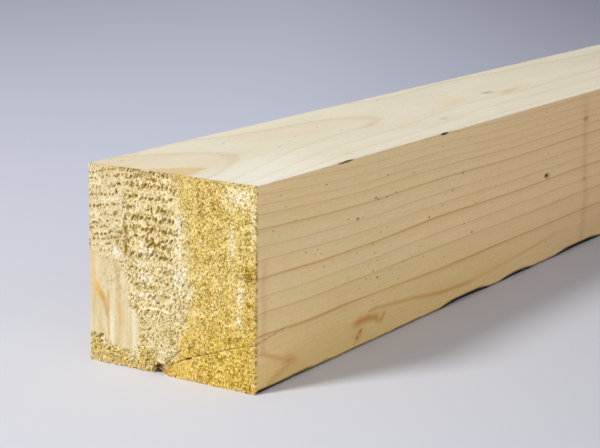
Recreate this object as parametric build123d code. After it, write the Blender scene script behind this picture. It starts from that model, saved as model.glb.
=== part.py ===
from build123d import *
from math import radians, sqrt, tan
import os

# A squared softwood timber lying on one of its faces, in millimetres.
# X runs across it, Y along it and Z up. The origin is the middle of its footprint.
# The near end, at -Y, is the rough one. The far end is a plain square cut.

# The stick
section_width = 100.0
section_height = 100.0
length = 1800.0
arris_ease = 0.8

# The near end's saw cut leans back towards its top
end_lean_degrees = 0.8

# The pith runs along the bottom face, a little to the left of the middle
pith_left_of_middle = 7.5
pith_above_bottom = 2.0

# The groove where the pith has crumbled away at the near end
groove_radius = 3.6
groove_centre_below_bottom = 1.0
groove_depth = 14.0

# The drying check that opens from the pith to the right face
main_check_elbow_right = 19.0
main_check_elbow_up = 9.2
main_check_exit_height = 24.3
main_check_pith_width = 0.3
main_check_elbow_width = 1.1
main_check_exit_width = 0.6
main_check_depth = 28.0

# The short check that climbs from the pith and stops inside the end
short_check_elbow_right = 8.0
short_check_elbow_up = 7.0
short_check_tip_right = 12.5
short_check_tip_up = 12.0
short_check_width = 0.6
short_check_depth = 12.0

# Every check closes to this width at its inner end
check_closed_width = 0.1

# The spike knot that the saw left smooth, a little below the torn fibres round it.
# It opens onto the left face. Each point is its distance from that face and its height.
knot_outline = [
    (0.0, 57.0),
    (17.0, 53.0),
    (22.5, 43.0),
    (24.5, 31.0),
    (30.5, 23.0),
    (30.0, 12.0),
    (22.0, 8.0),
    (6.0, 15.5),
    (0.0, 15.0),
]
knot_recess = 0.7

# Knocks in the upper right arris: start and end from the near end, and depth
knocks = [
    (71.0, 81.0, 1.2),
    (176.0, 185.0, 1.0),
]

# Hollows in the lower right arris: start and end from the near end, and depth
hollows = [
    (180.0, 243.0, 1.5),
    (253.0, 303.0, 0.9),
    (328.0, 405.0, 1.1),
]

# A cutting tool reaches this far past the surface that it opens
overcut = 2.0

right = section_width / 2
left = -section_width / 2
near_end = -length / 2
pith_x = -pith_left_of_middle
end_set_back = section_height * tan(radians(end_lean_degrees))


def squared_stick():
    """The full section over the full length, with its four long arrises eased."""
    stick = Box(section_width, length, section_height,
                align=(Align.CENTER, Align.CENTER, Align.MIN))
    return fillet(stick.edges().filter_by(Axis.Y), arris_ease)


def end_waste():
    """What the leaning saw cut takes off the near end."""
    side_view = Polyline(
        (near_end, 0),
        (near_end + end_set_back, section_height),
        (near_end + end_set_back, section_height + overcut),
        (near_end - overcut, section_height + overcut),
        (near_end - overcut, 0),
        close=True,
    )
    return extrude(Plane.YZ * make_face(side_view), right + overcut, both=True)


def end_plane(depth):
    """The upright plane across the stick, this far in from the near end, seen from it."""
    return Plane(origin=(0, near_end + depth, 0), x_dir=(1, 0, 0), z_dir=(0, -1, 0))


def check_section(path, widths):
    """The outline of a check: its path across the end, opened to a width at each point."""
    upper = [(x, z + width / 2) for (x, z), width in zip(path, widths)]
    lower = [(x, z - width / 2) for (x, z), width in zip(path, widths)]
    return make_face(Polyline(*upper, *reversed(lower), close=True))


def drying_check(path, widths, depth):
    """A split that is open at the near end and closes towards its inner end."""
    closed = [min(check_closed_width, width) for width in widths]
    mouth = end_plane(-overcut) * check_section(path, widths)
    root = end_plane(depth) * check_section(path, closed)
    return loft([mouth, root])


def main_check():
    """The check from the pith, through its elbow, and out of the right face."""
    elbow = (pith_x + main_check_elbow_right, pith_above_bottom + main_check_elbow_up)
    rise = (main_check_exit_height - elbow[1]) / (right - elbow[0])
    beyond = (right + overcut, main_check_exit_height + rise * overcut)
    path = [(pith_x, pith_above_bottom), elbow, beyond]
    widths = [main_check_pith_width, main_check_elbow_width, main_check_exit_width]
    return drying_check(path, widths, main_check_depth)


def short_check():
    """The check that climbs from the pith and dies out in the end grain."""
    path = [
        (pith_x, pith_above_bottom),
        (pith_x + short_check_elbow_right, pith_above_bottom + short_check_elbow_up),
        (pith_x + short_check_tip_right, pith_above_bottom + short_check_tip_up),
    ]
    widths = [main_check_pith_width, short_check_width, check_closed_width]
    return drying_check(path, widths, short_check_depth)


def pith_groove():
    """The crumbled pith: a round-bottomed groove that runs in from the near end."""
    length_cut = groove_depth + overcut
    groove = extrude(end_plane(groove_depth) * Circle(groove_radius), length_cut)
    tip = end_plane(groove_depth).location * Sphere(groove_radius)
    return Pos(pith_x, 0, -groove_centre_below_bottom) * (groove + tip)


def spike_knot():
    """The smooth knot in the lower left of the end, as a shallow pocket that leans with it."""
    points = [(left + from_left, height) for from_left, height in knot_outline]
    first, last = points[0], points[-1]
    edge = Polyline(last, (left - overcut, last[1]), (left - overcut, first[1]), first)
    leaning = Plane(
        origin=(0, near_end, 0),
        x_dir=(1, 0, 0),
        z_dir=(0, -section_height, end_set_back),
    )
    pocket = make_face([Spline(*points), edge])
    return extrude(leaning * pocket, knot_recess, both=True)


def arris_bite(up, start, end, depth):
    """A round-bottomed bite out of a right-hand arris, the upper one or the lower one."""
    half = (end - start) / 2
    radius = (half ** 2 + depth ** 2) / (2 * depth)
    stand_off = (radius - depth) / sqrt(2)
    corner_z = section_height if up else 0
    way = 1 if up else -1
    place = Plane(
        origin=(right + stand_off, near_end + start + half, corner_z + way * stand_off),
        x_dir=(0, 1, 0),
        z_dir=(1, 0, -way),
    )
    return place * Cylinder(radius, section_height / 2)


def square_timber():
    """The whole stick, one piece of wood."""
    timber = squared_stick() - end_waste()
    timber -= spike_knot()
    timber -= pith_groove()
    timber -= main_check()
    timber -= short_check()
    for start, end, depth in knocks:
        timber -= arris_bite(True, start, end, depth)
    for start, end, depth in hollows:
        timber -= arris_bite(False, start, end, depth)
    return timber


os.makedirs("parts", exist_ok=True)
export_step(square_timber(), "parts/square_timber.step")
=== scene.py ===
from cmath import rect
from collections import namedtuple
from math import cos, pi, radians, sin, sqrt, tan

import bpy
import numpy as np
from mathutils import Matrix, Vector


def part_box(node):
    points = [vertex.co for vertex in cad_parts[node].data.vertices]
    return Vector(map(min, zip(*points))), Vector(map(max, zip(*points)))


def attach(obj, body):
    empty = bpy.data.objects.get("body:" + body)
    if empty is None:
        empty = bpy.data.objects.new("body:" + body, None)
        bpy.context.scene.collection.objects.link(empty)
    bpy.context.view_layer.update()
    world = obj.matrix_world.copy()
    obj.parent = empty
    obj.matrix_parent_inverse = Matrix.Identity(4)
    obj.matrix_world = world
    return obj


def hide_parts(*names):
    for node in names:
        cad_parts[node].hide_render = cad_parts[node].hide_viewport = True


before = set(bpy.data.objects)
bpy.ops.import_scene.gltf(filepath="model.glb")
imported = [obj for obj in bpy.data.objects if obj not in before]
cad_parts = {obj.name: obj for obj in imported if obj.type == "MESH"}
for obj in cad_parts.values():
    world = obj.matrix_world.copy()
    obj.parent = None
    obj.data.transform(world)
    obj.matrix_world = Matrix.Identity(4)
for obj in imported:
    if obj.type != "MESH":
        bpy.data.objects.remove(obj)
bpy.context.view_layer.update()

# Everything below is worked out in millimetres. X runs across the stick and Z up.
# T runs along it from the near end, which lies at the row's -Y, to the far end.
MM = 0.001
NODE = "square_timber"
LOW, HIGH = [np.array(corner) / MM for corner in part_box(NODE)]
WIDTH, LENGTH, HEIGHT = HIGH - LOW
SIDE = WIDTH
RIGHT, LEFT = HIGH[0], LOW[0]
NEAR_Y = LOW[1]
# The long sides, in their order around the stick from its lower left arris
BOTTOM_SIDE, RIGHT_SIDE, TOP_SIDE, LEFT_SIDE = range(4)

# The near end's saw cut leans back towards its top
END_LEAN = tan(radians(0.8))
# The long arrises are eased by this much
EASE = 0.8
# The groove of the crumbled pith: its radius, how far its middle lies under the stick, its length
GROOVE_RADIUS = 3.6
GROOVE_SUNK = 1.0
GROOVE_LENGTH = 14.0

# The pith, and how much flatter the growth rings lie on its left than on its right
PITH_X = -7.5
PITH_Z = 2.0
LEFT_FLATNESS = 0.55

# The growth rings by their radius at the near end, and how far each has sunk
# towards the pith further along the stick
RINGS = [
    (0.0, 0.0), (4.2, 0.2), (8.6, 0.2), (12.8, 0.3), (17.0, 0.3), (21.3, 0.3), (25.6, 0.4),
    (30.2, 0.4), (34.0, 0.4), (37.8, 0.5), (42.3, 0.5), (46.8, 0.5), (51.0, 0.5), (55.0, 0.5),
    (59.2, 0.6), (63.7, 2.3), (69.0, 1.8), (73.2, 1.8), (79.6, 2.6), (85.9, 4.4), (90.5, 4.8),
    (97.6, 5.4), (103.0, 5.8), (106.6, 6.6), (110.8, 7.2), (115.0, 7.6), (119.5, 8.0),
    (124.0, 8.4), (128.5, 8.8), (133.0, 9.2), (137.5, 9.6), (142.0, 10.0),
]
SINK_LENGTH = 110.0

# What a distance says where nothing is near
FAR_OFF = 9.0
# Noise and scatter repeat after this many cells
NOISE_CELLS = 64
SCATTER_CELLS = 128


def lattice(u, v, seed):
    """Smooth value noise from 0 to 1, one cell for each unit."""
    table = np.random.default_rng(seed).random((NOISE_CELLS, NOISE_CELLS))
    iu, iv = np.floor(u).astype(int), np.floor(v).astype(int)
    fu, fv = u - iu, v - iv
    fu, fv = fu * fu * (3 - 2 * fu), fv * fv * (3 - 2 * fv)
    left, right = iu % NOISE_CELLS, (iu + 1) % NOISE_CELLS
    low, high = [table[left, j % NOISE_CELLS] * (1 - fu) + table[right, j % NOISE_CELLS] * fu
                 for j in (iv, iv + 1)]
    return low * (1 - fv) + high * fv


def fractal(u, v, seed, octaves=3):
    """Layers of value noise, each twice as fine and half as strong."""
    weights = [0.5 ** k for k in range(octaves)]
    layers = [w * lattice(u * 2 ** k, v * 2 ** k, seed + k) for k, w in enumerate(weights)]
    return sum(layers) / sum(weights)


def scatter(u, v, seed):
    """Scattered points, one in each unit cell: the nearest one's distance, its random number,
    how much farther the second one is, and how far u has gone past the nearest."""
    rng = np.random.default_rng(seed)
    jitter = rng.random((2, SCATTER_CELLS, SCATTER_CELLS))
    value = rng.random((SCATTER_CELLS, SCATTER_CELLS))
    iu, iv = np.floor(u).astype(int), np.floor(v).astype(int)
    best, second = np.full(np.shape(u), FAR_OFF), np.full(np.shape(u), FAR_OFF)
    owner, past = np.zeros(np.shape(u)), np.zeros(np.shape(u))
    for du in (-1, 0, 1):
        for dv in (-1, 0, 1):
            cu, cv = (iu + du) % SCATTER_CELLS, (iv + dv) % SCATTER_CELLS
            off_u = iu + du + jitter[0, cu, cv] - u
            off_v = iv + dv + jitter[1, cu, cv] - v
            away = np.hypot(off_u, off_v)
            nearer = away < best
            second = np.where(nearer, best, np.minimum(second, away))
            owner = np.where(nearer, value[cu, cv], owner)
            past = np.where(nearer, -off_u, past)
            best = np.minimum(away, best)
    return best, owner, second - best, past


def ramp(value, start, end):
    """0 below start, 1 above end and a smooth rise between them."""
    part = np.clip((value - start) / (end - start), 0, 1)
    return part * part * (3 - 2 * part)


def turned(u, v, degrees):
    """Places seen along axes that are turned by an angle."""
    c, s = cos(radians(degrees)), sin(radians(degrees))
    return u * c + v * s, v * c - u * s


def spot(u, v, centre, reach, turn=0.0):
    """A soft oval that is 1 in the middle and fades out past its reach."""
    a, b = turned(u - centre[0], v - centre[1], turn)
    return np.exp(-((a / reach[0]) ** 2 + (b / reach[1]) ** 2))


def distance(u, v, points):
    """Distance to a line through the points."""
    away = np.full(np.shape(u), np.inf)
    for (u0, v0), (u1, v1) in zip(points, points[1:]):
        run = np.array([u1 - u0, v1 - v0])
        share = np.clip(((u - u0) * run[0] + (v - v0) * run[1]) / (run @ run), 0, 1)
        away = np.minimum(away, np.hypot(u - u0 - share * run[0], v - v0 - share * run[1]))
    return away


def stroke(u, v, points, width):
    """A soft band of this half width along a line through the points."""
    return np.exp(-(distance(u, v, points) / width) ** 2)


def inside(u, v, outline):
    """Signed distance to a closed outline: positive within it."""
    closed = outline + outline[:1]
    within = np.zeros(np.shape(u), bool)
    for (u0, v0), (u1, v1) in zip(closed, closed[1:]):
        if v0 != v1:
            within ^= ((v0 > v) != (v1 > v)) & (u < u0 + (v - v0) * (u1 - u0) / (v1 - v0))
    away = distance(u, v, closed)
    return np.where(within, away, -away)


def painted(u, v, strokes=(), spots=()):
    """The strongest of many soft shapes at each point. A stroke is given by its strength, its
    half width and its points, and a spot by its strength, centre, reach and perhaps turn."""
    shapes = [strength * stroke(u, v, points, width) for strength, width, points in strokes]
    shapes += [strength * spot(u, v, *oval) for strength, *oval in spots]
    return np.maximum.reduce(shapes)


def ring_number(x, t, z):
    """Which growth ring a point is in, as a number whose whole part counts from the pith."""
    across = x - PITH_X
    across = np.where(across < 0, across * LEFT_FLATNESS, across)
    swell = 3.8 * (1 - np.exp(-t / 100.0)) * ramp(z, 70.0, 100.0) * ramp(-x, -55.0, -20.0)
    wander = 1.6 * (lattice(t / 90.0, z / 60.0, 5) - 0.5) * ramp(t, 0.0, 80.0)
    radius = np.hypot(across, z - PITH_Z) + swell + wander
    sunk = 1 - np.exp(-t / SINK_LENGTH) + 0.25 * ramp(t, 300.0, 1800.0)
    number = np.zeros(np.shape(radius))
    for (r0, d0), (r1, d1) in zip(RINGS, RINGS[1:]):
        inner, outer = r0 - d0 * sunk, r1 - d1 * sunk
        number += np.clip((radius - inner) / (outer - inner), 0, 1)
    return number


# Colours, in linear red, green and blue
def linear(red, green, blue):
    """A colour as it shows on a screen, 0 to 255, turned to linear light."""
    return np.array([(c / 255 / 12.92) if c < 10 else ((c / 255 + 0.055) / 1.055) ** 2.4
                     for c in (red, green, blue)])


def mix(a, b, share):
    """Blend from colour a to colour b, point by point."""
    share = np.asarray(share)[..., None]
    return a * (1 - share) + b * share


def layered(colour, *layers):
    """Lays colours over a first one, each with its share at each point."""
    for tint, share in layers:
        colour = mix(colour, tint, share)
    return colour


def rgba(colour):
    """A colour with full cover."""
    return (*[float(c) for c in colour], 1.0)


TOP_CREAM = linear(236, 228, 204)
TOP_BLOTCH = linear(228, 213, 178)
TOP_PALE = linear(244, 239, 224)
TOP_STAIN = linear(226, 188, 122)
SIDE_TAN = linear(246, 218, 164)
SIDE_PINK = linear(239, 204, 156)
SIDE_GOLD = linear(235, 203, 136)
KNOT_CREAM = linear(219, 205, 168)
KNOT_SHADE = linear(206, 185, 138)
KNOT_PIT = linear(176, 138, 76)
KNOT_TAN = linear(210, 148, 76)
KNOT_DARK = linear(70, 38, 18)
# Near-black brown for painted shade in recesses and for the painted contact shadow
SHADE_BROWN = linear(30, 17, 1)
PITH_RESIN = linear(186, 116, 34)
PITH_HOLE_SHADE = linear(52, 32, 16)
PIT_DARK = linear(134, 104, 0)
ROW_BAND = linear(204, 168, 98)
PALE_TIP = linear(250, 245, 230)
RIM_GOLD = linear(208, 166, 72)
FAR_CREAM = linear(232, 210, 160)
FAR_GOLD = linear(219, 186, 124)
LINE_TINT = linear(214, 177, 124)
DASH_BROWN = linear(116, 70, 26)
PIN_BROWN = linear(84, 48, 0)
CRUMB_GAP = linear(124, 94, 0)
CRUMB_TIP = linear(255, 238, 184)
CRACK_BROWN = linear(66, 40, 18)

# Colours of the torn end in its gaps, on its body and on its lit tips: the gaps darker partly as painted
# shade, the tips paler as a painted highlight
TORN_CREAM = (linear(146, 118, 10), linear(237, 219, 166), linear(251, 242, 213))
TORN_ROWS = (linear(150, 120, 14), linear(209, 188, 138), linear(240, 229, 194))
TORN_GOLD = (linear(144, 112, 0), linear(231, 201, 112), linear(248, 232, 172))
TORN_LOW_GOLD = (linear(144, 108, 0), linear(230, 193, 78), linear(246, 220, 130))
TORN_DEEP = (linear(124, 96, 0), linear(226, 202, 130), linear(253, 242, 206))
TORN_HEART = (linear(150, 124, 24), linear(224, 205, 148), linear(247, 238, 204))
TORN_TOE = (linear(150, 116, 0), linear(252, 226, 112), linear(255, 252, 212))

# The texture map's strips: side, start and end along the stick, and picture dots for each mm.
# The near parts show most.
MAP_SIZE = 1024
MAP_GAP = 3
NEAR_END_SCALE = 4.0
FAR_END_SCALE = 1.35
PLAIN_SCALE = 0.74
LAST_CUT = 1130.0
STRIPS = []
for side, cut, scale in (
    (RIGHT_SIDE, 460.0, 1.88), (TOP_SIDE, 640.0, 1.55), (LEFT_SIDE, 460.0, 1.15), (BOTTOM_SIDE, 460.0, 1.0),
):
    STRIPS.append((side, 0.0, cut, scale))
    STRIPS += [(side, cut, LAST_CUT, PLAIN_SCALE), (side, LAST_CUT, LENGTH, PLAIN_SCALE)]


def place_strips(shrink):
    """Finds room in the map for every strip and both ends: the lower left corner of each, or None."""
    sizes = [((end - start) * scale, SIDE * scale) for _, start, end, scale in STRIPS]
    sizes += [(SIDE * scale,) * 2 for scale in (NEAR_END_SCALE, FAR_END_SCALE)]
    taken = np.zeros((MAP_SIZE, MAP_SIZE), bool)
    corners = [None] * len(sizes)
    for k in sorted(range(len(sizes)), key=lambda k: (-sizes[k][1], -sizes[k][0])):
        wide, high = [int(s * shrink) + 2 * MAP_GAP for s in sizes[k]]
        for top in range(0, MAP_SIZE - high + 1, 2):
            free = ~taken[top:top + high].any(0)
            runs = np.convolve(free, np.ones(wide), "valid") >= wide
            if runs.any():
                left = int(np.argmax(runs))
                taken[top:top + high, left:left + wide] = True
                corners[k] = (left + MAP_GAP, top + MAP_GAP)
                break
        else:
            return None
    return corners


SHRINK = 1.0
while (STRIP_CORNERS := place_strips(SHRINK)) is None:
    SHRINK -= 0.01
NEAR_END_CORNER, FAR_END_CORNER = STRIP_CORNERS[-2:]


def end_map(x, z, scale, corner):
    """The texture map of an end, from across and up."""
    scale *= SHRINK
    return np.stack([corner[0] + (x - LEFT) * scale, corner[1] + z * scale], -1) / MAP_SIZE


def long_map(around, t):
    """The texture map of faces on the long sides. Around and t hold a row of corners for each."""
    side = (around.mean(1) // SIDE).astype(int) % 4
    middle = t.mean(1)
    uv = np.zeros(around.shape + (2,))
    for (own, start, end, scale), corner in zip(STRIPS, STRIP_CORNERS):
        here = (side == own) & (middle >= start) & (middle < end)
        places = np.stack([t[here] - start, around[here] - own * SIDE], -1)
        uv[here] = (np.array(corner) + places * scale * SHRINK) / MAP_SIZE
    return uv


# The near end is a grid of torn end grain
END_CELLS = 250
END_STEP = SIDE / END_CELLS

# The outline of the smooth spike knot on the near end
KNOT_OUTLINE = [
    (LEFT - 3.0, 57.5), (-44.0, 54.0), (-33.0, 53.0), (-28.5, 49.0), (-26.5, 40.0), (-25.5, 31.0),
    (-20.0, 27.5), (-18.8, 19.0), (-19.5, 12.0), (-24.0, 9.0), (-31.0, 9.0), (-38.0, 11.5),
    (-43.0, 14.5), (LEFT - 3.0, 15.0),
]
# The drying checks on the near end, from the pith outwards
MAIN_CHECK = [
    (-7.5, 2.0), (3.0, 7.2), (9.0, 10.1), (13.0, 12.0), (25.0, 16.0), (34.0, 19.4), (51.0, 24.5),
]
SHORT_CHECK = [(-5.5, 3.0), (0.5, 9.0), (5.0, 13.5)]
FAINT_CHECK = [(5.0, 13.5), (15.8, 18.4), (25.6, 24.0)]
# Where the main check gapes at its elbow
CHECK_ELBOW = [(9.0, 10.2), (11.8, 10.8)]
# Where the main check comes out on the right face: along and up
RIGHT_CHECK = [(0.0, 24.2), (14.0, 25.4), (28.0, 27.0)]

# Where the cream wood on the left of the near end turns golden: height and place across
GOLD_EDGE = [
    (0.0, -3.0), (10.0, 2.0), (25.0, 9.0), (40.0, 12.0), (55.0, 11.5), (70.0, 7.5), (80.0, 5.0),
    (100.0, 1.0),
]

# The top of the golden toe at the lower left: place across and height
TOE_EDGE = [
    (-50.0, 15.5), (-46.5, 14.5), (-44.0, 9.0), (-38.0, 8.5), (-33.0, 10.0), (-29.0, 9.0),
    (-25.5, 3.5), (-22.0, 1.5), (-19.5, 5.0), (-17.0, 20.0), (-14.5, 12.0), (-10.0, 9.0),
    (-8.0, 4.0), (-6.0, -4.0),
]

# Rows of pits in the upper left, by their height at the left face and their strength.
# They climb to the right and end at this place across.
ROW_CLIMB = 0.19
ROW_END = -27.0
ROWS = [
    (55.6, 0.5), (58.4, 0.6), (61.4, 0.8), (64.0, 0.9), (67.0, 0.8), (70.2, 0.7), (73.2, 0.5),
    (78.4, 0.95), (83.6, 0.85), (87.4, 0.5), (92.4, 0.6), (95.6, 0.8), (98.6, 0.5),
]
# Rows of deep pits in the upper middle, by their height and their strength, where they start
# and end, and where they are thickest
DEEP_ROWS = [
    (57.3, 0.8), (60.4, 0.4), (63.2, 0.9), (67.0, 0.5), (70.8, 1.0), (76.2, 0.9), (81.0, 0.6),
    (86.6, 1.0), (92.2, 1.0), (95.2, 0.6), (98.4, 1.0),
]
DEEP_START, DEEP_END, DEEP_MIDDLE = -36.0, 4.0, -14.0
# Columns of deep pits beside them: place across, and from and to which height
DEEP_COLUMNS = [(-27.4, 54.0, 79.0), (-14.0, 56.0, 78.0)]

# Ridges of late wood that stand out of the torn end: radius from the pith, and start and end across
RIDGES = [(30.3, -20.0, 4.0), (37.4, -20.0, -8.0)]

# Torn flakes by kind: length, width, turn and seed
FINE_FLAKES = (1.25, 0.62, 60, 23)
MIDDLE_FLAKES = (2.0, 0.92, 60, 22)
BIG_FLAKES = (2.9, 1.35, 56, 21)
BIGGEST_FLAKES = (3.1, 1.5, 62, 26)
ROWED_FLAKES = (1.8, 0.9, 32, 24)
UPRIGHT_FLAKES = (2.2, 0.78, 84, 25)
# Pits by kind: length, width, turn, seed and the share of the scattered points that have one,
# which changes from place to place in the golden wood
GOLD_PITS = (2.0, 0.95, 60, 33)
COARSE_PITS = (2.6, 1.3, 60, 32, 0.34)
ROUND_PITS = (1.9, 1.2, 60, 35, 0.14)
COMB_PITS = (2.3, 0.9, 84, 37, 0.32)
TOE_PITS = (2.7, 1.7, 60, 38, 0.44)
HEART_PITS = (1.6, 1.05, 60, 39, 0.3)
KNOT_PITS = (1.5, 1.0, 66, 40, 0.42)

# Pale and dark patches on the near end: strength, centre and reach
PALE_SPOTS = [
    (1, (-18, 68), (2.4, 1.2)), (1, (-18, 63.8), (2.4, 1.2)), (1, (-18, 58.8), (2.4, 1.6)),
    (1, (-12.5, 58.8), (1.4, 1.5)), (1, (-18, 53.4), (2.6, 1.3)), (1, (-16, 47), (2.0, 2.6)),
    (1, (36, 72), (1.6, 8.0)), (1, (41, 46), (1.5, 8.0)), (1, (40.5, 34), (2.0, 3.5)),
    (1, (48, 84), (1.8, 10.0)), (1, (5.0, 70), (2.0, 9.0)), (1, (5.5, 51), (3.2, 7.0)),
    (1, (40, 94), (8.0, 5.0)), (1, (-12, 61), (1.2, 1.0)), (1, (-33, 58), (3.0, 2.0)),
]
DARK_SPOTS = [
    (1, (-27.6, 71), (1.0, 2.0)), (1, (-27.6, 74.8), (1.4, 0.9)), (1, (-27.4, 60), (0.8, 3.0)),
    (1, (6.6, 75), (0.8, 2.0)), (1, (-5.6, 81.2), (1.4, 0.9)), (1, (-21, 43), (1.5, 1.2)),
    (1, (10.5, 68.5), (1.2, 0.9)), (1, (46, 56), (2.5, 3.0)), (1, (46, 43), (2.5, 1.0)),
    (1, (29, 76.5), (1.1, 0.8)), (1, (9.3, 30.0), (1.5, 1.0)), (1, (12, 16), (1.5, 1.4)),
    (1, (35, 23.5), (1.2, 1.2)), (1, (-12.5, 7), (2.5, 2.6)),
]

# Streaks in the smooth knot: colour, strength, half width and points
KNOT_STREAKS = [
    (linear(218, 172, 86), 0.85, 2.2, [(-46.8, 39.0), (-44.0, 35.5), (-41.5, 33.0)]),
    (linear(192, 148, 90), 0.75, 1.3, [(-43.0, 35.0), (-40.8, 31.0), (-39.5, 25.0)]),
    (linear(212, 170, 108), 0.55, 1.6, [(-32.5, 31.0), (-31.0, 27.0), (-30.5, 22.0)]),
    (linear(222, 184, 130), 0.6, 1.8, [(-48.5, 56.0), (-48.0, 46.0), (-47.0, 38.0)]),
    (linear(232, 226, 204), 0.6, 1.3, [(-37.0, 26.0), (-36.6, 16.0), (-36.8, 9.0)]),
    (linear(230, 224, 200), 0.6, 1.5, [(-23.0, 27.0), (-22.4, 18.0), (-22.8, 9.0)]),
    (linear(186, 146, 92), 0.6, 0.45, [(-38.4, 37.0), (-38.6, 26.0), (-38.2, 15.0)]),
]

# How far each kind of surface holds at the points of the near end, from 0 to 1
Kinds = namedtuple("Kinds", "knot rows coarse gold comb toe heart")


def end_kinds(x, z):
    """The kinds of surface of the near end. The comb is a part of the gold, the heart of the coarse."""
    ragged = 3.6 * (fractal(x / 2.0, z / 2.0, 11) - 0.5)
    broad = 11.0 * (fractal(x / 6.0, z / 6.0, 12) - 0.5)
    knot = ramp(inside(x + ragged, z + ragged, KNOT_OUTLINE), -1.0, 1.6)
    wood = 1 - knot
    rows = wood * ramp(-x + broad, 24.0, 34.0) * ramp(z, 52.0, 54.0)
    heights, places = zip(*GOLD_EDGE)
    gold = wood * ramp(x + broad - np.interp(z, heights, places), -4.5, 4.5)
    places, heights = zip(*TOE_EDGE)
    toe = wood * ramp(np.interp(x + 0.5 * ragged, places, heights) - z + 0.6 * ragged, -1.0, 1.2)
    coarse = np.clip(wood - rows - gold - toe, 0, 1)
    comb = gold * ramp(x, 6.0, 13.0) * ramp(-z + broad, -27.0, -17.0)
    off_heart = np.hypot((x + 3.0) / 9.0, (z - 18.0) / 13.0)
    heart = coarse * ramp(-off_heart - 0.03 * broad, -1.1, -0.75)
    return Kinds(knot, rows, coarse, gold, comb, toe, heart)


def blend(value, *layers):
    """Lays numbers over a first one, each with its share at each point."""
    for other, share in layers:
        value = value + share * (other - value)
    return value


def flakes(x, z, long, wide, turn, seed):
    """Torn flakes that lean one over the next: their height from 0 to 1."""
    bend = 0.5 * long
    u = x + bend * (lattice(x / long, z / long, seed + 50) - 0.5)
    v = z + bend * (lattice(x / long, z / long, seed + 60) - 0.5)
    u, v = turned(u, v, turn)
    _, owner, edge, past = scatter(u / long + 60, v / wide + 60, seed)
    lean = np.clip(0.5 + 0.6 * past, 0, 1)
    return ramp(edge, 0.02, 0.4) * (0.2 + 0.45 * owner + 0.35 * lean)


def pits(x, z, long, wide, turn, seed, share):
    """Scattered pits where a random number falls below a share: 0 outside them up to 1."""
    u, v = turned(x, z, turn)
    away, owner, _, _ = scatter(u / long + 60, v / wide + 60, seed)
    depth = 0.55 + 0.45 * (1 - owner / np.maximum(share, 0.01))
    return ramp(-away, -0.52, -0.22) * (owner < share) * depth


def dent(field, x, z, reach, turn, depth):
    """Deepens a field over the near end by one small oval at a place."""
    size = int(3 * max(reach) / END_STEP)
    rows, columns = [slice(max(k - size, 0), k + size + 1)
                     for k in (int((x - LEFT) / END_STEP), int(z / END_STEP))]
    shape = ramp(spot(END_X[rows, columns], END_Z[rows, columns], (x, z), reach, turn), 0.22, 0.62)
    field[rows, columns] = np.maximum(field[rows, columns], depth * shape)


def row_wander(x, height):
    """How far a row of fine pits strays from its straight line."""
    return 0.9 * (lattice(x / 6.0, height, 28) - 0.5)


def walk(rng, start, end, shortest, longest):
    """Places from a start to an end, a random step apart."""
    while start < end:
        yield start
        start += rng.uniform(shortest, longest)


def rows_of_pits():
    """Pits in rows: fine rows in the upper left, which climb, and deep ones in the upper middle."""
    rng = np.random.default_rng(27)
    field = np.zeros_like(END_X)
    for height, strength in ROWS:
        for x in walk(rng, LEFT + rng.uniform(0, 1), ROW_END, 1.4, 2.9):
            z = height + ROW_CLIMB * (x - LEFT) + row_wander(x, height) + rng.normal(0, 0.25)
            if rng.random() < 0.5 + 0.5 * strength and 0 < z < HEIGHT:
                reach = rng.uniform(0.65, 1.15), rng.uniform(0.42, 0.6)
                turn = rng.normal(38, 16)
                dent(field, x, z, reach, turn, rng.uniform(0.5, 1) * (0.5 + 0.5 * strength))
    for height, strength in DEEP_ROWS:
        for x in walk(rng, DEEP_START + rng.uniform(0, 3), DEEP_END, 1.2, 2.8):
            z = height + 1.6 * (lattice(x / 7.0, height, 29) - 0.5) + rng.normal(0, 0.5)
            likely = strength * (0.9 * (1 - ramp(abs(x - DEEP_MIDDLE), 9.0, 24.0)) + 0.1)
            if rng.random() < likely and 0 < z < HEIGHT:
                reach = rng.uniform(0.8, 2.0), rng.uniform(0.5, 0.95)
                dent(field, x, z, reach, rng.normal(58, 20), rng.uniform(0.45, 1))
    for place, low, high in DEEP_COLUMNS:
        for height in np.arange(low, high, 1.7):
            x, z = place + rng.normal(0, 0.4), height + rng.normal(0, 0.3)
            reach = rng.uniform(0.6, 1.1), rng.uniform(0.4, 0.6)
            dent(field, x, z, reach, rng.normal(75, 12), rng.uniform(0.5, 1))
    return field


def row_bands(x, z):
    """The golden bands that run just below the rows of pits in the upper left."""
    bands = np.zeros_like(x)
    for height, strength in ROWS:
        below = z - height + 0.8 - ROW_CLIMB * (x - LEFT) - row_wander(x, height + 0 * x)
        bands = np.maximum(bands, strength * np.exp(-(below / 0.8) ** 2))
    return bands


def flake_tops(x, z, kinds):
    """How high each point stands in its torn flake, from gap to tip."""
    fine, middle, big, biggest, rowed, upright = [flakes(x, z, *size) for size in (
        FINE_FLAKES, MIDDLE_FLAKES, BIG_FLAKES, BIGGEST_FLAKES, ROWED_FLAKES, UPRIGHT_FLAKES)]
    return blend(
        0.35 * fine + 0.65 * middle,
        (0.3 * fine + 0.35 * middle + 0.35 * big, kinds.coarse),
        (0.30 + 0.26 * rowed + 0.38 * fine, kinds.rows),
        (0.15 * fine + 0.85 * upright, kinds.comb),
        (0.25 * fine + 0.75 * biggest, kinds.toe),
        (0.5 * fine + 0.5 * middle, kinds.heart),
    )


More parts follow.
